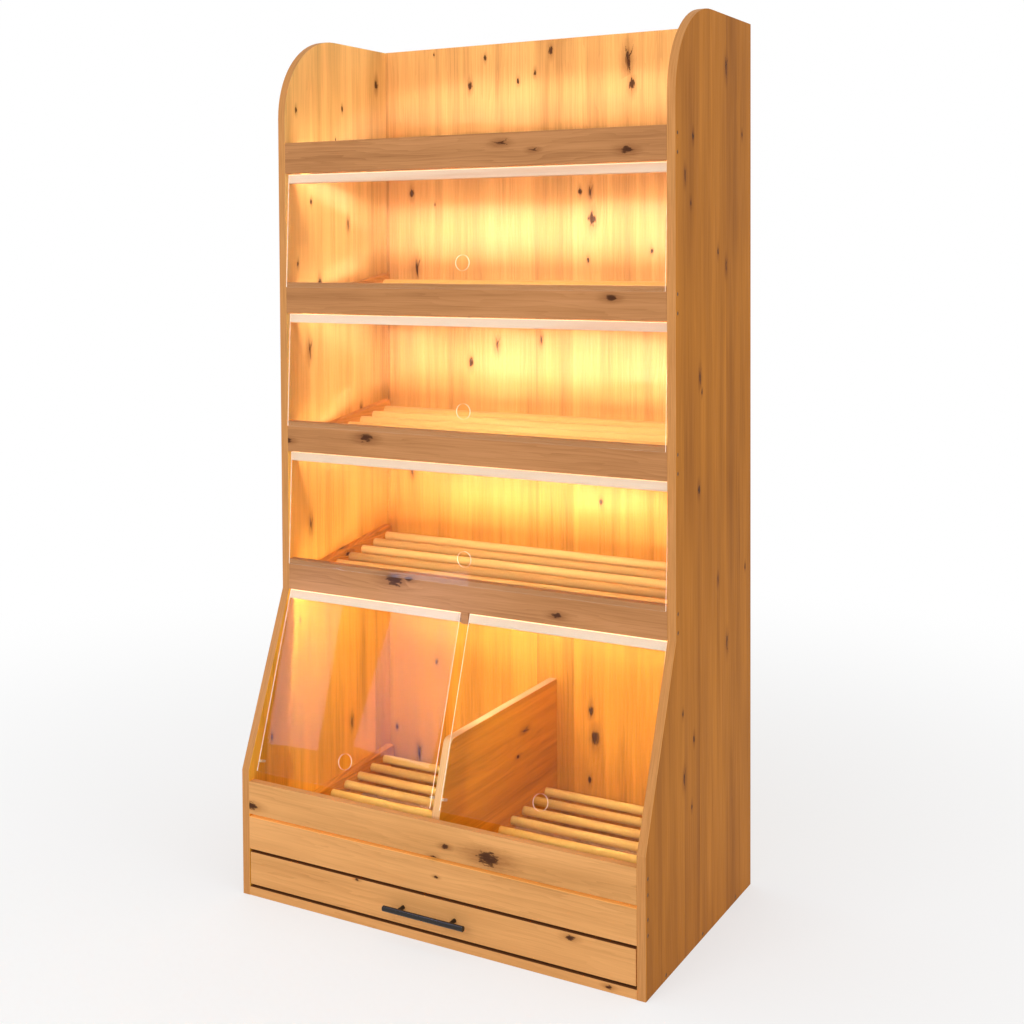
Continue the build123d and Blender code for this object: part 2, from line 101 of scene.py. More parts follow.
class Nodes:
    """Short ways to add nodes and link them in one material or world."""

    def __init__(self, owner):
        owner.use_nodes = True
        self.tree = owner.node_tree
        self.tree.nodes.clear()

    def add(self, kind, inputs=(), **settings):
        node = self.tree.nodes.new(kind)
        for name, value in settings.items():
            setattr(node, name, value)
        for name, value in dict(inputs).items():
            self.put(node.inputs[name], value)
        return node

    def put(self, socket, value):
        if isinstance(value, bpy.types.NodeSocket):
            self.tree.links.new(value, socket)
        elif value is not None:
            socket.default_value = value

    def surface(self, shader):
        self.add("ShaderNodeOutputMaterial", {"Surface": shader.outputs[0]})

    def math(self, operation, a, b=None, c=None, clamp=False):
        node = self.add("ShaderNodeMath", operation=operation, use_clamp=clamp)
        for socket, value in zip(node.inputs, (a, b, c)):
            self.put(socket, value)
        return node.outputs[0]

    def plus(self, a, b):
        return self.math("ADD", a, b)

    def minus(self, a, b):
        return self.math("SUBTRACT", a, b)

    def times(self, a, b):
        return self.math("MULTIPLY", a, b)

    def over(self, a, b):
        return self.math("DIVIDE", a, b)

    def power(self, a, b):
        return self.math("POWER", a, b)

    def unsigned(self, a):
        return self.math("ABSOLUTE", a)

    def swing(self, value, middle, strength):
        """How far a value is from its middle, times a strength."""
        return self.times(self.minus(value, middle), strength)

    def spread(self, value, low, high, to_low=0.0, to_high=1.0, easing="LINEAR"):
        node = self.add("ShaderNodeMapRange", {
            "Value": value, "From Min": low, "From Max": high, "To Min": to_low,
            "To Max": to_high}, interpolation_type=easing)
        return node.outputs[0]

    def ramp(self, value, stops):
        node = self.add("ShaderNodeValToRGB", {"Fac": value})
        while len(node.color_ramp.elements) < len(stops):
            node.color_ramp.elements.new(0.5)
        for element, (position, colour) in zip(node.color_ramp.elements, stops):
            element.position = position
            element.color = colour if len(colour) == 4 else (*colour, 1.0)
        return node.outputs["Color"]

    def mix(self, share, a, b, blend="MIX"):
        node = self.add("ShaderNodeMix", data_type="RGBA", blend_type=blend)
        for index, value in ((0, share), (6, a), (7, b)):
            self.put(node.inputs[index], value)
        return node.outputs[2]

    def choose(self, share, a, b, kind):
        """a where share is 0 and b where it is 1, for numbers (FLOAT) or vectors (VECTOR)."""
        node = self.add("ShaderNodeMix", data_type=kind)
        first = {"FLOAT": 2, "VECTOR": 4}[kind]
        for index, value in ((0, share), (first, a), (first + 1, b)):
            self.put(node.inputs[index], value)
        return node.outputs[{"FLOAT": 0, "VECTOR": 1}[kind]]

    def join(self, x, y, z=0.0):
        return self.add("ShaderNodeCombineXYZ", {"X": x, "Y": y, "Z": z}).outputs[0]

    def split(self, vector):
        return self.add("ShaderNodeSeparateXYZ", {"Vector": vector}).outputs

    def vector(self, operation, a, b=None, c=None, scale=None):
        node = self.add("ShaderNodeVectorMath", {0: a, 1: b, 2: c, 3: scale}, operation=operation)
        return node.outputs["Vector"]

    def length(self, vector):
        node = self.add("ShaderNodeVectorMath", {0: vector}, operation="LENGTH")
        return node.outputs["Value"]

    def coordinates(self):
        return self.add("ShaderNodeTexCoord").outputs["Object"]

    def facing(self):
        return self.split(self.add("ShaderNodeNewGeometry").outputs["True Normal"])

    def noise(self, vector, scale, detail=3.0, roughness=0.5, distortion=0.0):
        node = self.add("ShaderNodeTexNoise", {
            "Vector": vector, "Scale": scale, "Detail": detail, "Roughness": roughness,
            "Distortion": distortion})
        return node.outputs["Fac"]

    def cells(self, place, dimensions, randomness):
        """A Voronoi texture, whose cells each have their own random colour."""
        return self.add("ShaderNodeTexVoronoi", {
            "W" if dimensions == "1D" else "Vector": place, "Scale": 1.0,
            "Randomness": randomness}, voronoi_dimensions=dimensions)

    def luck(self, cells):
        """The random colour of each cell, as three random numbers."""
        return self.add("ShaderNodeSeparateColor", {"Color": cells.outputs["Color"]}).outputs


def grey(value):
    return (value, value, value, 1.0)


print("helpers ready")

# %% [markdown]
# The wood's working axes come from the object's own coordinates: `lengthways`
# follows the grain and `sideways` crosses it. A little of the third direction is
# mixed into the sideways one, so that the pattern runs on over a board's narrow
# edges instead of being smeared along them.

# %% Wood axes
ALONG_X, ALONG_Y, ALONG_Z = 0, 1, 2


def wood_axes(n, along, across, shift):
    """Object coordinates, the same as (along, across, through), and the working pair."""
    split = n.split(n.coordinates())
    through = ({0, 1, 2} - {along, across}).pop()
    grain = n.join(split[along], split[across], split[through])
    sideways = n.plus(n.math("MULTIPLY_ADD", split[through], 0.6, split[across]), shift)
    return split, grain, n.plus(split[along], shift * 3.7), sideways


print("axes ready")

# %% [markdown]
# Small knots are scattered with a Voronoi texture, which divides a board into
# cells. Its Position output is the middle of the cell, so the offset from it tells
# where we are in the knot. The larger knots that give this shelf its face are
# listed one by one, as points on the boards. Of all of them only the nearest counts, so
# one drawing of a knot, round or split into a long crack, serves every one.

# %% The nearest knot
small_knot = 0.006
cell_stretch = 1.7


def nearest_knot(n, grain, along, sideways, spacing, share, placed):
    """Offset from the nearest knot, in knot sizes, and whether that knot is a crack."""
    place = n.join(n.over(along, spacing * cell_stretch), n.over(sideways, spacing))
    cells = n.cells(place, "2D", 1.0)
    luck = n.luck(cells)
    radius = n.math("MULTIPLY_ADD", luck[1], small_knot, 0.3 * small_knot)
    missing = n.times(n.math("GREATER_THAN", luck[0], share), 90.0)
    local = n.vector("SUBTRACT", place, cells.outputs["Position"])
    local = n.vector("MULTIPLY", local, (spacing * cell_stretch, spacing, 0.0))
    local = n.vector("SCALE", local, scale=n.over(1.0, radius))
    best = n.vector("ADD", local, n.join(0.0, 0.0, missing))
    crack = n.math("GREATER_THAN", luck[2], 0.6)
    for middle, knot_size, is_crack in placed:
        offset = tuple(-value / knot_size for value in middle)
        local = n.vector("MULTIPLY_ADD", grain, (1.0 / knot_size,) * 3, offset)
        closer = n.math("LESS_THAN", n.length(local), n.length(best))
        best = n.choose(closer, best, local, "VECTOR")
        crack = n.choose(closer, crack, is_crack, "FLOAT")
    return best, crack


print("knots can be found")

# %% [markdown]
# A knot has a dark heart and a wide halo of slanting grain. The heart of a round
# knot is an oval with a ragged rim. A split knot is two crossing lines that get
# thinner towards their ends. A knot is only as deep as six times its size, so a
# knot of one face doesn't show on the opposite one.

# %% The drawing of a knot
knot_depth = 6.0


def from_middle(n, u, v, along, across):
    """Distance from the middle of an oval that is longer along the grain."""
    return n.math("SQRT", n.plus(n.power(n.times(u, along), 2.0), n.power(n.times(v, across), 2.0)))


def draw_knot(n, offset, crack, along, sideways):
    """Heart and halo of the knot, 0 to 1, and the offset beside it."""
    u, v, depth = n.split(offset)
    fine = n.join(n.times(along, 60.0), n.times(sideways, 190.0))
    ragged = n.minus(n.noise(fine, 1.0, 3.0, 0.7), 0.5)
    buried = n.times(n.math("GREATER_THAN", n.unsigned(depth), knot_depth), 9.0)

    oval = from_middle(n, u, v, 0.62, 1.0)
    rim = n.math("MULTIPLY_ADD", ragged, 2.6, n.plus(oval, buried))
    round_heart = n.math("SUBTRACT", 1.0, rim, clamp=True)

    def line(width, narrowing, slope, at):
        taper = n.minus(width, n.times(n.unsigned(n.minus(u, at)), narrowing))
        wander = n.plus(n.math("MULTIPLY_ADD", ragged, 1.5, v), n.times(u, slope))
        inside = n.minus(n.math("MAXIMUM", taper, 0.0), n.plus(n.unsigned(wander), buried))
        return n.math("MULTIPLY", inside, 4.0, clamp=True)

    split_heart = n.math("MAXIMUM", line(0.30, 0.10, 0.16, 0.0), line(0.20, 0.10, -0.45, 1.0))
    heart = n.choose(crack, round_heart, split_heart, "FLOAT")
    far = from_middle(n, u, v, 0.17, 0.45)
    rim = n.math("MULTIPLY_ADD", ragged, 0.5, n.plus(far, buried))
    halo = n.math("SUBTRACT", 1.0, rim, clamp=True)
    return heart, n.power(halo, 1.5), v


print("knots can be drawn")

# %% [markdown]
# Each stave of a board has its own tone, from a Voronoi texture along one line.
# Rods are turned from different sticks, so there one cell is one rod: its place in
# the row and the shelf that it belongs to give the cell.

# %% Staves and rods
shelf_pitch = 0.3255
lowest_rod = 0.671


def stave_luck(n, split, sideways, stave, rods):
    """Random numbers that stay the same all over one stave or one rod."""
    if not rods:
        return n.luck(n.cells(n.over(sideways, stave), "1D", 0.9))
    first, pitch = rods
    in_row = n.over(n.minus(split[1], first), pitch)
    shelf = n.over(n.minus(split[2], lowest_rod), shelf_pitch)
    return n.luck(n.cells(n.join(in_row, shelf), "2D", 0.0))


print("staves ready")

# %% [markdown]
# Then the figure of the grain is added up from large to small: growth rings that
# wander and part round the knots, broad streaks, fine fibres, and wide patches
# where a board is lighter or darker.

# %% Figure of the grain


def grain_figure(n, lengthways, sideways, push, luck, ring, contrast, streak, figure, patches):
    """The fibres, the dark late wood of each ring, and the tone that all add up to."""
    own_part = n.times(luck[0], 7.3)

    def streaks(per_along, per_across, detail, roughness):
        across = n.times(n.plus(sideways, push), per_across)
        place = n.join(n.times(lengthways, per_along), own_part, across)
        return n.noise(place, 1.0, detail, roughness)

    bend = n.times(streaks(1.7, 5.0, 2.0, 0.5), 0.13 * figure)
    waved = n.plus(n.plus(sideways, bend), push)
    uneven = n.times(streaks(3.0, 34.0, 3.0, 0.6), 4.5)
    ring_part = n.math("FRACT", n.math("MULTIPLY_ADD", waved, ring, uneven))
    late = n.times(n.power(ring_part, 2.0), n.power(streaks(2.5, 16.0, 2.0, 0.5), 1.5))
    fibres = streaks(6.0, 420.0, 3.0, 0.6)
    broad = streaks(1.1, 30.0, 3.0, 0.6)

    tone = n.math("MULTIPLY_ADD", n.minus(luck[1], 0.5), contrast, 0.42)
    tone = n.plus(tone, n.swing(broad, 0.5, 1.1 * streak))
    tone = n.plus(tone, n.swing(fibres, 0.5, 0.6 * streak))
    tone = n.plus(tone, n.times(late, 0.7 * figure * streak))
    if patches:
        wide = n.join(n.times(lengthways, 2.2), own_part, n.times(sideways, 9.0))
        tone = n.plus(tone, n.swing(n.noise(wide, 1.0, 2.0), 0.5, patches))
    return fibres, late, tone


print("figure ready")

# %% [markdown]
# Some boards differ from place to place. The side panels are paler inside than
# out and have banded edges. Towards the bins the wood is painted a redder, deeper
# orange, painted light and shade for how the low compartments are lit, and the
# level edges beside the drawer are darkened with painted shade for the slots.

# %% Places on the boards
inner_face = 0.4806
back_face = 0.2956
painted_light_from, painted_light_full = 1.25, 0.66
drawer_middle, drawer_reach = 0.0635, 0.05


def tinted(n, value, colours):
    return n.ramp(value, [(0.1, colours[0]), (0.5, colours[1]), (0.95, colours[2])])


def banded_edges(n, split, colour, rim):
    """The narrow edges of a panel that stands across X, with layers along them."""
    is_rim = n.math("LESS_THAN", n.unsigned(n.facing()[0]), 0.6)
    down = n.plus(split[2], n.times(split[1], 0.7))
    layers = n.noise(n.join(n.times(split[0], 420.0), n.times(down, 9.0)), 1.0, 3.0, 0.6)
    tone = n.math("MULTIPLY_ADD", n.minus(layers, 0.5), 1.3, 0.45, clamp=True)
    return n.mix(is_rim, colour, tinted(n, tone, rim))


def painted_slot_shade(n, split, colour, slot):
    """Painted shade on the level edges of the boards round the drawer."""
    level = n.math("GREATER_THAN", n.unsigned(n.facing()[2]), 0.8)
    from_drawer = n.unsigned(n.minus(split[2], drawer_middle))
    near_drawer = n.math("LESS_THAN", from_drawer, drawer_reach)
    return n.mix(n.times(level, near_drawer), colour, slot)


print("places ready")

# %% [markdown]
# The builder puts all of this together. The fine fibres also make the surface a
# little rough and uneven.

# %% Wood
knot_specks = (0.10, 0.035, 0.012, 1.0)
knot_heart = (0.065, 0.021, 0.007, 1.0)


def wood(name, tones, along, across, stave=0.09, shift=0.0, ring=95.0, knot_spacing=0.20,
         knot_share=0.4, stave_contrast=0.35, streak=1.0, figure=1.0, specular=0.12, placed=(),
         inside=None, rim=None, slot=None, deep=None, rods=None, patches=0.0, leak=None):
    """Oiled softwood. tones are its light, middle and dark colours. inside gives the
    tones of the inner face of a side panel, rim the tones of its banded edges, and slot
    the colour of painted shade for the slots beside the drawer. deep is painted light
    and shade: what the colour is multiplied by low down in the bins. rods is the place of
    the first rod and the pitch. patches is how strongly broad areas differ. leak is a
    function that gives the share of light that leaks past an edge, with its colour and strength."""
    material = bpy.data.materials.new(name)
    n = Nodes(material)
    split, grain, lengthways, sideways = wood_axes(n, along, across, shift)
    offset, crack = nearest_knot(n, grain, lengthways, sideways, knot_spacing, knot_share, placed)
    heart, halo, beside = draw_knot(n, offset, crack, lengthways, sideways)
    push = n.times(n.times(halo, beside), -0.008)
    luck = stave_luck(n, split, sideways, stave, rods)
    fibres, late, tone = grain_figure(n, lengthways, sideways, push, luck, ring, stave_contrast,
                                      streak, figure, patches)
    tone = n.math("ADD", tone, n.times(halo, 0.5), clamp=True)

    colour = tinted(n, tone, tones)
    if inside:
        inner = n.math("LESS_THAN", n.unsigned(split[0]), inner_face)
        colour = n.mix(inner, colour, tinted(n, tone, inside))
    # Painted light and shade: from 1.25 m down to the bins, the colour is multiplied redder and
    # deeper orange.
    if deep:
        in_bins = inner if inside else n.math("LESS_THAN", split[1], back_face)
        depth = n.times(n.spread(split[2], painted_light_from, painted_light_full), in_bins)
        colour = n.mix(depth, colour, (*deep, 1.0), blend="MULTIPLY")

    halo_colour = tuple(c * share for c, share in zip(tones[2], (0.75, 0.55, 0.45, 1.0)))
    colour = n.mix(n.times(halo, 0.4), colour, halo_colour)
    specks = n.math("MULTIPLY", n.minus(n.times(fibres, halo), 0.34), 9.0, clamp=True)
    colour = n.mix(n.times(specks, 0.7), colour, knot_specks)
    heart_share = n.ramp(heart, [(0.0, grey(0)), (0.2, grey(0.75)), (0.55, grey(0.94))])
    colour = n.mix(heart_share, colour, knot_heart)
    if rim:
        colour = banded_edges(n, split, colour, rim)
    # Painted shade: the level edges round the drawer are darkened as if in the slots' shade.
    if slot:
        colour = painted_slot_shade(n, split, colour, slot)

    height = n.plus(n.times(fibres, 0.6), n.times(late, 0.3))
    bump = n.add("ShaderNodeBump", {"Height": height, "Strength": 0.15, "Distance": 0.0005})
    shine = n.ramp(fibres, [(0.2, grey(0.44)), (0.8, grey(0.60))])
    shader = n.add("ShaderNodeBsdfPrincipled", {
        "Base Color": colour, "Roughness": shine, "Normal": bump.outputs[0],
        "Specular IOR Level": specular})
    if leak:
        share, light, strength = leak
        n.put(shader.inputs["Emission Color"], light)
        n.put(shader.inputs["Emission Strength"], n.times(share(n, split[2]), strength))
    n.surface(shader)
    return material


print("wood builder ready")

# %% [markdown]
# Light leaks past two kinds of edge: the top edges of the flap strips, below each
# rail, and the slot between the bin's front board and the board under it. A thin
# glow on those edges stands for it.

# %% Leaks of light
lowest_strip_top = 0.66824
slot_height = 0.1811


def strip_top(n, height):
    """1 on the top edges of the flap strips, which stand one above the other."""
    rows = n.over(n.minus(height, lowest_strip_top), shelf_pitch)
    from_top = n.minus(n.math("FRACT", n.plus(rows, 0.5)), 0.5)
    return n.spread(from_top, -0.0052, -0.0014)


def board_slot(n, height):
    """1 on the top edge of the board below the bin's front board."""
    return n.spread(n.unsigned(n.minus(height, slot_height)), 0.0012, 0.0004)


print("leaks ready")

# %% [markdown]
# The larger knots are listed one by one. Each is given as it is seen on its face: how
# far sideways, how high, its size, and whether it is a split crack. They were
# measured on the boards that face the camera. A material takes up to about 20.

# %% Knots placed one by one
SIDE_OUT, SIDE_IN, BACK, RAIL, BASE, DIVIDER = 0.500, -0.480, 0.295, -0.129, -0.285, 0.010


def knots_on(face, points, upright=False):
    """The knots in the order along, across and through the grain."""
    return [((high, aside, face) if upright else (aside, high, face), size, crack)
            for aside, high, size, crack in points]


right_knots = knots_on(SIDE_OUT, (
    (0.156, 1.860, 0.009, 1), (-0.036, 1.701, 0.005, 0), (0.257, 1.721, 0.004, 0),
    (-0.080, 1.617, 0.007, 1), (-0.048, 1.562, 0.004, 0), (0.107, 1.461, 0.005, 0),
    (0.156, 1.428, 0.007, 1), (0.002, 1.198, 0.008, 1), (0.013, 1.167, 0.004, 0),
    (-0.005, 0.963, 0.006, 0), (0.106, 0.750, 0.005, 1), (0.277, 0.747, 0.004, 0),
    (0.161, 0.599, 0.009, 1), (-0.095, 0.514, 0.004, 0), (-0.034, 0.444, 0.005, 0),
    (-0.089, 0.376, 0.008, 1), (-0.046, 0.306, 0.004, 0),
), upright=True)
left_knots = knots_on(SIDE_IN, (
    (0.251, 1.889, 0.007, 0), (-0.086, 1.799, 0.004, 0), (0.101, 1.816, 0.004, 0),
    (0.122, 1.532, 0.006, 1), (-0.030, 1.584, 0.004, 0), (-0.084, 1.436, 0.004, 0),
    (-0.040, 1.229, 0.01, 1), (0.121, 0.280, 0.007, 1), (-0.200, 0.338, 0.005, 0),
    (-0.089, 0.587, 0.003, 0), (-0.042, 0.807, 0.008, 1),
), upright=True)
back_knots = knots_on(BACK, (
    (0.205, 1.912, 0.013, 1), (0.215, 1.855, 0.008, 0), (-0.227, 1.876, 0.006, 0),
    (-0.183, 1.943, 0.004, 0), (-0.090, 1.880, 0.004, 0), (-0.043, 1.897, 0.004, 0),
    (-0.388, 1.418, 0.011, 1), (0.110, 1.539, 0.01, 0), (0.105, 1.604, 0.007, 1),
    (0.078, 1.605, 0.005, 0), (0.099, 1.441, 0.004, 0), (0.265, 1.462, 0.004, 0),
    (0.113, 0.284, 0.011, 0), (0.103, 0.348, 0.007, 0), (0.099, 0.179, 0.005, 0),
    (-0.392, 0.162, 0.01, 1), (-0.336, 0.408, 0.004, 0), (-0.229, 1.184, 0.007, 0),
    (-0.153, 1.229, 0.008, 1), (0.131, 0.860, 0.005, 0),
), upright=True)
rail_knots = knots_on(RAIL, (
    (-0.184, 0.724, 0.014, 0), (0.228, 0.692, 0.007, 0), (0.356, 1.368, 0.007, 0),
    (0.176, 1.679, 0.005, 1), (0.393, 1.671, 0.008, 0), (-0.258, 1.041, 0.01, 0),
    (-0.144, 0.730, 0.006, 0),
))
base_knots = knots_on(BASE, (
    (0.042, 0.216, 0.005, 0), (0.146, 0.212, 0.016, 0), (0.012, 0.188, 0.005, 0),
    (-0.472, 0.207, 0.009, 0), (0.019, 0.147, 0.003, 0), (0.335, 0.090, 0.006, 0),
    (-0.183, 0.098, 0.003, 0),
))
divider_knots = knots_on(DIVIDER, (
    (0.130, 0.334, 0.008, 1), (0.095, 0.283, 0.005, 0),
))
print("knots", [len(knots) for knots in (right_knots, left_knots, back_knots, rail_knots,
                                         base_knots, divider_knots)])

# %% [markdown]
# One builder, several woods: the sides and the back run upright and are made of
# staves, the rails and base boards run across in one piece with a bolder figure,
# and the rods are pale and nearly free of knots.

# %% The woods of the case


def tones(middle, lighter=1.28, darker=0.62):
    """Light, middle and dark of one wood, from its middle colour in linear values."""
    red, green, blue = middle
    return ((red * lighter, green * lighter * 1.04, blue * lighter * 1.15, 1.0),
            (red, green, blue, 1.0),
            (red * darker, green * darker * 0.9, blue * darker * 0.85, 1.0))


inner_tones = tones((0.74, 0.43, 0.135))
edge_tones = tones((0.54, 0.24, 0.075), 1.2, 0.7)
# Painted light and shade for the bins: red raised, green and most of the blue cut.
painted_bin_light = (1.16, 0.96, 0.35)
right_side_wood, left_side_wood = (
    wood(name, tones((0.43, 0.149, 0.0135)), ALONG_Z, 1, stave=0.085, shift=shift, figure=0.35,
         ring=120.0, placed=placed, inside=inner_tones, rim=edge_tones, knot_share=0.2,
         stave_contrast=0.35, specular=0.07, deep=painted_bin_light, patches=0.9)
    for name, shift, placed in (("right_side_wood", 0.31, right_knots),
                                ("left_side_wood", 0.83, left_knots)))
back_wood = wood("back_wood", tones((0.66, 0.34, 0.105)), ALONG_Z, 0, stave=0.10, shift=0.77,
                 figure=0.5, placed=back_knots, knot_share=0.25, deep=painted_bin_light, patches=0.5)
rail_wood = wood("rail_wood", tones((0.46, 0.205, 0.075)), ALONG_X, 2, stave=0.9, shift=0.13,
                 ring=80.0, knot_spacing=0.16, knot_share=0.15, placed=rail_knots, figure=0.7,
                 streak=0.85, patches=0.5)
# The slot colour is painted shade for the slots round the drawer.
base_wood = wood("base_wood", tones((0.62, 0.295, 0.095)), ALONG_X, 2, stave=0.9, shift=0.55,
                 ring=60.0, knot_spacing=0.16, knot_share=0.2, figure=0.7, placed=base_knots,
                 streak=0.65, patches=0.5, slot=(0.22, 0.08, 0.025, 1.0),
                 leak=(board_slot, (1.0, 0.42, 0.07, 1.0), 0.38))
divider_wood = wood("divider_wood", tones((0.74, 0.32, 0.02)), ALONG_Y, 2, stave=0.10,
                    shift=0.21, placed=divider_knots, knot_share=0.1,
                    rim=tones((0.80, 0.46, 0.20), 1.15, 0.8), figure=0.6)
print("case woods ready")

# %% [markdown]
# The smaller parts are of the same softwood, cut from other sticks. The bars run
# from front to back, the rods and the flap strips from side to side. The bin rods
# are the palest: a yellower wood, made paler still as painted light for the light
# they lack. The flap strips are sanded smooth and almost white.

# %% The woods of the smaller parts
bar_wood = wood("bar_wood", tones((0.66, 0.31, 0.08)), ALONG_Y, 2, stave=0.5, shift=0.9,
                knot_share=0.15, deep=painted_bin_light)
rod_wood = wood("rod_wood", tones((0.82, 0.50, 0.15), 1.15, 0.7), ALONG_X, 2, shift=0.4,
                ring=160.0, knot_share=0.04, stave_contrast=0.9, figure=0.4, streak=0.7,
                rods=(-0.068, 0.054))
# Painted light: the bin rods' wood is paler than its own colour, to make up for light they lack.
bin_rod_wood_painted_light = wood("bin_rod_wood_painted_light", tones((0.97, 0.66, 0.17), 1.03, 0.75), ALONG_X, 2,
                    shift=0.7, ring=160.0, knot_share=0.04, stave_contrast=0.8, figure=0.4,
                    streak=0.7, rods=(-0.218, 0.057))
strip_wood = wood("strip_wood", tones((0.90, 0.70, 0.53), 1.05, 0.88), ALONG_X, 2, stave=0.5,
                  shift=0.6, ring=120.0, knot_share=0.0, streak=0.5, figure=0.4,
                  leak=(strip_top, (1.0, 0.62, 0.26, 1.0), 1.0))
box_wood = wood("drawer_box_wood", tones((0.72, 0.42, 0.17), 1.15, 0.75), ALONG_Y, 2,
                stave=0.4, shift=0.2, ring=80.0, knot_share=0.05)
print("woods", [m.name for m in bpy.data.materials if m.name.endswith("wood")])

# %% [markdown]
# Metals and plastics are simpler: one shader each, with a little noise in the
# roughness so that a highlight breaks up as it does on a handled surface.

# %% Metal and plastic
spot_scale = 40.0
rough_spread = 0.06


def srgb(r, g, b):
    """A colour as it is read off a screen, 0 to 255, as Blender's linear values."""
    def linear(c):
        c = c / 255.0
        return c / 12.92 if c <= 0.04045 else ((c + 0.055) / 1.055) ** 2.4
    return (linear(r), linear(g), linear(b))


def plain(name, colour, roughness, metallic=0.0, specular=0.5):
    material = bpy.data.materials.new(name)
    n = Nodes(material)
    place = n.coordinates()
    spots = n.noise(place, spot_scale, 4.0, 0.6)
    rough = n.ramp(spots, [(0.3, grey(roughness - rough_spread)),
                           (0.7, grey(roughness + rough_spread))])
    tint = n.ramp(spots, [(0.25, tuple(c * 0.93 for c in colour)), (0.75, colour)])
    bump = n.add("ShaderNodeBump", {"Height": n.noise(place, spot_scale * 12, 2.0),
                                    "Strength": 0.05, "Distance": 0.0002})
    n.surface(n.add("ShaderNodeBsdfPrincipled", {
        "Base Color": tint, "Roughness": rough, "Metallic": metallic,
        "Normal": bump.outputs[0], "Specular IOR Level": specular}))
    return material


handle_black = plain("handle_black", (0.010, 0.007, 0.005), 0.30, specular=0.4)
pin_steel = plain("pin_steel", (0.55, 0.54, 0.52), 0.3, metallic=1.0)
screw_steel = plain("screw_steel", (0.17, 0.075, 0.025), 0.5, metallic=0.3)
runner_steel = plain("runner_steel", (0.62, 0.63, 0.64), 0.28, metallic=1.0)
stop_plastic = plain("stop_plastic", srgb(226, 200, 168), 0.4)
white_plastic = plain("duct_white", srgb(226, 223, 215), 0.45)
gland_rubber = plain("gland_rubber", (0.02, 0.02, 0.02), 0.6)
led_sleeve = plain("led_sleeve", srgb(240, 236, 226), 0.4)
print("plain finishes ready")

# %% [markdown]
# A strip light is a row of diodes behind a milky sleeve, so it glows a little more
# over each diode. The line of diodes itself is very bright and thin, and the rest
# of the sleeve passes on a soft glow, more from below on the lowest strip, which
# has the whole bin to light.

# %% Glowing sleeves
diode_pitch = 0.0167


def lamp(name, colour, strength):
    material = bpy.data.materials.new(name)
    n = Nodes(material)
    swell = n.math("SINE", n.times(n.split(n.coordinates())[0], 2 * math.pi / diode_pitch))
    glow = n.times(n.math("MULTIPLY_ADD", swell, 0.12, 1.0), strength)
    unlit = tuple(min(share, 1.0) for share in colour)
    n.surface(n.add("ShaderNodeBsdfPrincipled", {
        "Base Color": unlit, "Roughness": 0.5, "Emission Color": colour,
        "Emission Strength": glow}))
    return material


led_light = lamp("led_light", (1.0, 0.93, 1.25, 1.0), 1750.0)
led_halo = lamp("led_halo", (1.0, 0.88, 0.78, 1.0), 84.0)
led_under = lamp("led_under", (1.0, 0.88, 0.70, 1.0), 30.0)
led_open = lamp("led_open", (1.0, 0.88, 0.70, 1.0), 555.0)
print("sleeves ready")

# %% [markdown]
# Clear acrylic needs two finishes. Through its faces it is clear, and it mirrors
# more at a glancing angle. Its sawn and polished edges look milky and carry a
# painted glow for the light they gather. Along the foot they are less milky and
# glow less, which is painted shade where little light reaches them.

# %% Clear acrylic


def clear_sheet(name):
    material = bpy.data.materials.new(name)
    n = Nodes(material)
    smears = n.noise(n.coordinates(), 7.0, 3.0, 0.55, 0.6)
    rough = n.ramp(smears, [(0.4, grey(0.01)), (0.8, grey(0.06))])
    glancing = n.add("ShaderNodeLayerWeight", {"Blend": 0.5}).outputs["Facing"]
    mirror = n.math("MULTIPLY_ADD", n.power(glancing, 5.0), 0.6, 0.009)
    clear = n.add("ShaderNodeBsdfTransparent", {"Color": (0.985, 0.99, 0.985, 1.0)})
    gloss = n.add("ShaderNodeBsdfGlossy", {"Color": (1.0, 1.0, 1.0, 1.0), "Roughness": rough})
    n.surface(n.add("ShaderNodeMixShader", {0: mirror, 1: clear.outputs[0],
                                            2: gloss.outputs[0]}))
    return material


def edge_with_painted_glow(name, low, high, glow):
    material = bpy.data.materials.new(name)
    n = Nodes(material)
    saw = n.noise(n.coordinates(), 60.0, 2.0, 0.5)
    tint = n.ramp(saw, [(0.3, (0.90, 0.80, 0.68)), (0.7, (0.98, 0.92, 0.84))])
    # The emission here is a painted glow: these edges glow though they are no lamp.
    milky_painted_glow = n.add("ShaderNodeBsdfPrincipled", {
        "Base Color": tint, "Roughness": 0.25, "Emission Color": (1.0, 0.88, 0.74, 1.0),
        "Emission Strength": glow})
    clear = n.add("ShaderNodeBsdfTransparent", {"Color": (0.97, 0.98, 0.97, 1.0)})
    share = n.ramp(saw, [(0.2, grey(low)), (0.8, grey(high))])
    n.surface(n.add("ShaderNodeMixShader", {0: share, 1: clear.outputs[0],
                                            2: milky_painted_glow.outputs[0]}))
    return material


acrylic = clear_sheet("clear_acrylic")
# Painted glow on the edges. The foot's finish is dimmer, which is painted shade.
acrylic_edge_painted_glow = edge_with_painted_glow("acrylic_edge_painted_glow", 0.55, 0.95, 0.6)
acrylic_foot_painted_dim_glow = edge_with_painted_glow("acrylic_foot_painted_dim_glow", 0.12, 0.3, 0.5)
print("finishes", len(bpy.data.materials))

# %% [markdown]
# Every CAD node gets its finish by the start of its name, because the copies of a
# piece are numbered or named by their side.

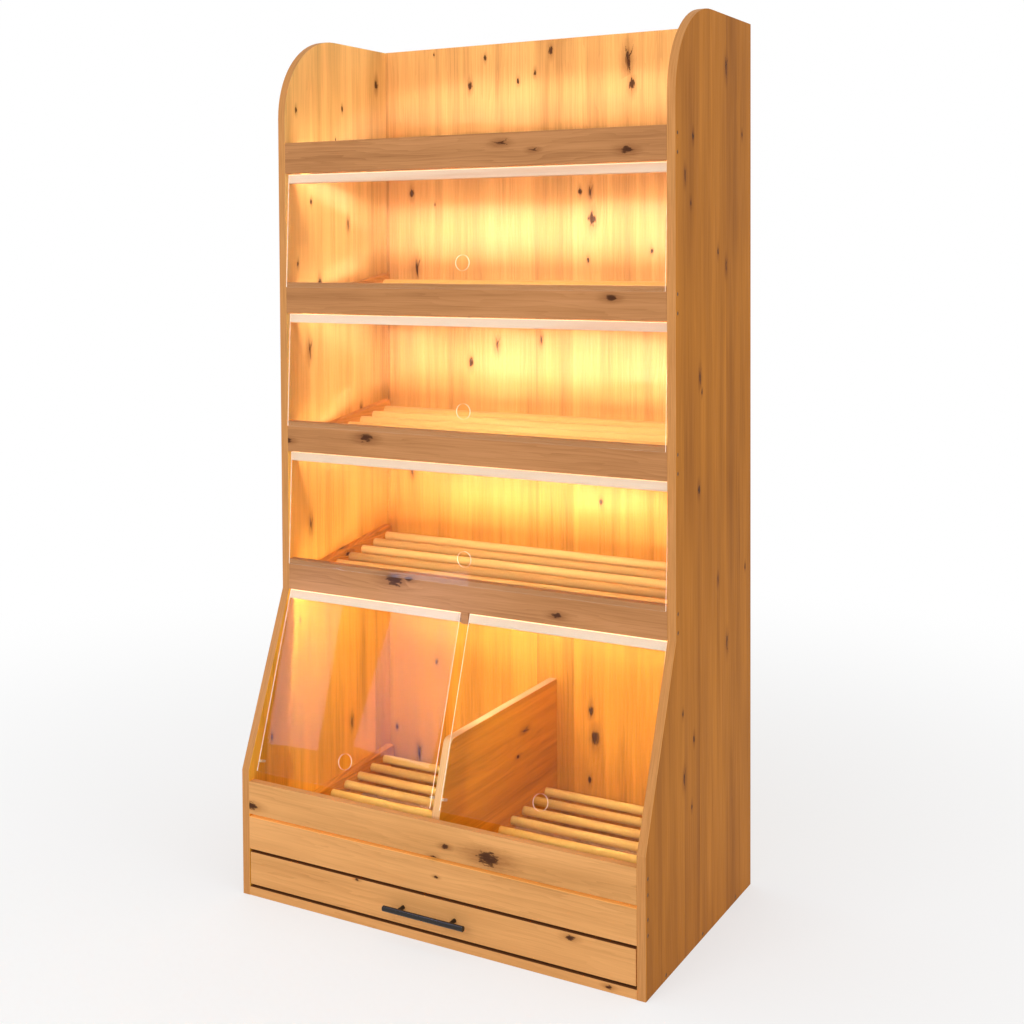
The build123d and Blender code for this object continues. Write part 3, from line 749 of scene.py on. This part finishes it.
# %% Dress the CAD nodes
dressing = (
    (right_side_wood, "side_panel_right"),
    (left_side_wood, "side_panel_left"),
    (back_wood, "back_panel"),
    (rail_wood, "front_rail hinge_block"),
    (base_wood, "bottom_board lower_front bin_front drawer_front"),
    (divider_wood, "centre_divider"),
    (bar_wood, "bin_bars shelf_bars"),
    (bin_rod_wood_painted_light, "bin_rods"),
    (rod_wood, "shelf_rods"),
    (strip_wood, "flap_strip bin_flap_strip"),
    (box_wood, "drawer_side drawer_back drawer_bottom"),
    (handle_black, "handle_bar handle_posts"),
    (pin_steel, "handle_screws flap_pins bin_flap_pins"),
    (screw_steel, "panel_screws bar_screws"),
    (runner_steel, "runner"),
    (stop_plastic, "bin_flap_stops"),
    (white_plastic, "cable_duct led_driver led_leads"),
    (gland_rubber, "cable_gland"),
    (led_sleeve, "led_strip"),
    (acrylic, "flap_panel bin_flap_panel"),
)
finish_of = {stem: finish for finish, stems in dressing for stem in stems.split()}
for node_name, node in nodes.items():
    stem = max((s for s in finish_of if node_name.startswith(s)), key=len)
    node.data.materials.clear()
    node.data.materials.append(finish_of[stem])
print("dressed", len(nodes), "nodes")

# %% [markdown]
# The clear sheets are remade from their CAD solids, because their edges need
# another finish than their faces, also round the finger hole. The copy gets its
# materials by which way each face points, and a tiny bevel that catches a bright
# line, brightened by the painted glow of the edge finish.

# %% Helpers for remade pieces


def copy_of(node_name):
    """A merged bmesh copy of a CAD node, with its flat faces whole again."""
    bm = bmesh.new()
    bm.from_mesh(nodes[node_name].data)
    bmesh.ops.remove_doubles(bm, verts=bm.verts, dist=1e-6)
    bmesh.ops.dissolve_limit(bm, angle_limit=math.radians(0.5), verts=bm.verts, edges=bm.edges)
    return bm


def new_piece(name, bm, materials, body, replaced=()):
    mesh = bpy.data.meshes.new(name)
    bm.to_mesh(mesh)
    bm.free()
    for material in materials:
        mesh.materials.append(material)
    piece = bpy.data.objects.new(name, mesh)
    bpy.context.collection.objects.link(piece)
    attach(piece, body)
    if replaced:
        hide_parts(*replaced)
    return piece


print("helpers for pieces ready")

# %% [markdown]
# There are three upper sheets and two in front of the bins. On each, the two large
# faces stay clear, the edges and the hole's rim are milky with a painted glow, and
# the lowest edge gets the dimmer finish, painted shade with less glow. The direction
# of the largest face tells which faces are clear.

# %% Clear sheets
sheets = {"flap_panel_1": "flap_1", "flap_panel_2": "flap_2", "flap_panel_3": "flap_3",
          "bin_flap_panel_left": "bin_flap_left", "bin_flap_panel_right": "bin_flap_right"}
foot_height = 0.004
edge_bevel = 0.0006

for node_name, body in sheets.items():
    bm = copy_of(node_name)
    bm.normal_update()
    sides = max(bm.faces, key=lambda face: face.calc_area()).normal.copy()
    foot = min(vert.co.z for vert in bm.verts)
    rim = [edge for edge in bm.edges if len(edge.link_faces) == 2 and edge.calc_face_angle() > 1.0]
    bmesh.ops.bevel(bm, geom=rim, offset=edge_bevel, segments=2, profile=0.5, affect="EDGES",
                    material=-1)
    bm.normal_update()
    for face in bm.faces:
        low = face.calc_center_median().z < foot + foot_height
        face.material_index = 0 if abs(face.normal.dot(sides)) > 0.9 else 2 if low else 1
    sheet = new_piece("sheet_of_" + body, bm, [acrylic, acrylic_edge_painted_glow, acrylic_foot_painted_dim_glow], body,
                      [node_name])
    print(sheet.name, len(sheet.data.polygons), "faces")

# %% [markdown]
# Each light is a flexible strip in a soft white sleeve, with its line of diodes
# sunk in a groove along the back. That matters here: a line so thin throws crisp
# shadows of the rods on the back panel, and the lips of the groove end the beam
# above and below, which gives the lit bands of each compartment. So the back face
# is inset to the groove's height and pushed in, and its floor is inset again to
# the bright line. A wide glowing face would blur all of that away. The strips were
# stuck on by hand, so each groove sits a little higher or lower.

# %% Strip lights
diode_line = 0.0004
groove_depth = 0.0017
steepest_beam = 0.55
groove_height = 2 * steepest_beam * groove_depth
groove_offsets = (0.0, -0.0006, -0.0020, -0.0028)
DIODES, UNDERSIDE, GLOW = 1, 2, 3  # the plain sleeve is 0

for number, offset in enumerate(groove_offsets, start=1):
    node_name = f"led_strip_{number}"
    low, high = (Vector(corner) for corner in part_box(node_name))
    bm = bmesh.new()
    bmesh.ops.create_cube(bm, size=1.0)
    bmesh.ops.scale(bm, vec=high - low, verts=bm.verts)
    bmesh.ops.translate(bm, vec=(low + high) / 2, verts=bm.verts)
    line = max(bm.faces, key=lambda face: face.calc_center_median().y)
    under = min(bm.faces, key=lambda face: face.calc_center_median().z)
    lip = ((high - low).z - groove_height) / 2
    bmesh.ops.inset_region(bm, faces=[line], thickness=lip, depth=0.0, use_even_offset=True)
    bmesh.ops.translate(bm, vec=(0, 0, offset), verts=line.verts)
    line = bmesh.ops.extrude_discrete_faces(bm, faces=[line])["faces"][0]
    bmesh.ops.translate(bm, vec=(0, -groove_depth, 0), verts=line.verts)
    beside_line = (groove_height - diode_line) / 2
    bmesh.ops.inset_region(bm, faces=[line], thickness=beside_line, depth=0.0,
                           use_even_offset=True)
    bm.normal_update()
    bmesh.ops.inset_region(bm, faces=[under], thickness=0.0004, depth=0.0)
    for face in bm.faces:
        if face.normal.y > 0.9 and face.calc_center_median().y > high.y - 1e-5:
            face.material_index = GLOW
    line.material_index = DIODES
    under.material_index = UNDERSIDE
    below = led_open if number == len(groove_offsets) else led_under
    light = new_piece(f"strip_light_{number}", bm, [led_sleeve, led_light, below, led_halo],
                      "case", [node_name])
    glowing = {name: round(1e6 * sum(face.area for face in light.data.polygons
                                     if face.material_index == index))
               for name, index in (("diodes", DIODES), ("underside", UNDERSIDE), ("back", GLOW))}
    print(light.name, "glows on", glowing, "mm2")

# %% [markdown]
# The studio is plain: an even white surround, a pale floor that keeps the shadow,
# and two large soft lamps. The shelf's own strips do the rest. What the camera
# sees of the surround, also in a mirror or through the sheets, is pure white, and
# what falls on the shelf is a little less.

# %% Surround
scene = bpy.context.scene
scene.view_settings.view_transform = "Standard"


def seen_directly(n):
    """1 where a ray is seen, straight or in a mirror or through a sheet, and else 0."""
    rays = n.add("ShaderNodeLightPath").outputs
    seen = n.math("MAXIMUM", rays["Is Camera Ray"], rays["Is Glossy Ray"])
    return n.math("MAXIMUM", seen, rays["Is Transmission Ray"])


surround_light = 0.80
world = bpy.data.worlds.new("studio")
scene.world = world
n = Nodes(world)
strength = n.spread(seen_directly(n), 0.0, 1.0, surround_light, 1.0)
backdrop = n.add("ShaderNodeBackground", {"Color": (1.0, 1.0, 1.0, 1.0), "Strength": strength})
n.add("ShaderNodeOutputWorld", {"Surface": backdrop.outputs[0]})
print("surround", surround_light)

# %% [markdown]
# Two large square lamps stand well away from the shelf, one in front and one to the
# right, so that the boards have soft, even light. They are hidden from mirrors,
# where their outlines would show in the clear sheets.

# %% Soft lamps


def area_lamp(name, width, height, watts):
    data = bpy.data.lights.new(name, "AREA")
    data.shape = "RECTANGLE"
    data.size = width
    data.size_y = height
    data.energy = watts
    thing = bpy.data.objects.new(name, data)
    bpy.context.collection.objects.link(thing)
    return thing


for name, place, target, size, watts in (
        ("front_lamp", (-0.6, -4.2, 2.4), (0, 0, 0.9), 2.4, 58.0),
        ("side_lamp", (4.2, -1.2, 2.2), (0.4, 0, 0.9), 2.2, 18.0)):
    soft_lamp = area_lamp(name, size, size, watts)
    soft_lamp.location = place
    aim = Vector(target) - Vector(place)
    soft_lamp.rotation_euler = aim.to_track_quat("-Z", "Y").to_euler()
    soft_lamp.visible_glossy = False
print("lamps", [light.name for light in bpy.data.lights])

# %% [markdown]
# The left bin flap mirrors two upright soft boxes, and that is what makes the clear
# sheet visible. They are lamps that only show in mirror images. Their places were
# found by following the camera's rays off the flap, and they hang close to it, so
# that the upper flaps don't mirror them as well.

# %% Soft boxes
watts_per_area = 15.0
box_places = {
    "soft_box_left": ((-0.501, -0.314, 0.535), (0.814, -0.548, 0.192),
                      (-0.018, 0.307, 0.952), 0.138, 0.342),
    "soft_box_right": ((-0.191, -0.312, 0.561), (0.850, -0.525, 0.052),
                       (0.094, 0.248, 0.964), 0.181, 0.351),
}
for box_name, (middle, across, upward, width, height) in box_places.items():
    soft_box = area_lamp(box_name, width, height, watts_per_area * width * height)
    soft_box.data.color = (0.60, 0.60, 1.0)
    across = Vector(across).normalized()
    away = across.cross(Vector(upward)).normalized()
    box_turn = Matrix((across, away.cross(across), away)).transposed().to_4x4()
    soft_box.matrix_world = Matrix.Translation(middle) @ box_turn
    soft_box.visible_camera = False
    soft_box.visible_diffuse = False
    soft_box.visible_transmission = False
print("soft boxes", list(box_places))

# %% [markdown]
# The floor is a plain pale sheet. It keeps the shelf's shadow, and for the camera
# it fades to the white of the surround further out, so no horizon shows.

# %% Floor
bm = bmesh.new()
bmesh.ops.create_grid(bm, x_segments=8, y_segments=8, size=14.0)
floor_mesh = bpy.data.meshes.new("floor")
bm.to_mesh(floor_mesh)
bm.free()
floor = bpy.data.objects.new("floor", floor_mesh)
bpy.context.collection.objects.link(floor)
floor_look = bpy.data.materials.new("floor")
n = Nodes(floor_look)
fade = n.spread(n.length(n.coordinates()), 0.8, 3.2, 0.55, 1.0, easing="SMOOTHSTEP")
white = n.add("ShaderNodeEmission", {"Color": (1.0, 1.0, 1.0, 1.0), "Strength": 1.0})
paint = n.add("ShaderNodeBsdfDiffuse", {"Color": (0.90, 0.90, 0.90, 1.0)})
n.surface(n.add("ShaderNodeMixShader", {0: n.times(seen_directly(n), fade),
                                        1: paint.outputs[0], 2: white.outputs[0]}))
floor_mesh.materials.append(floor_look)
print("floor ready")
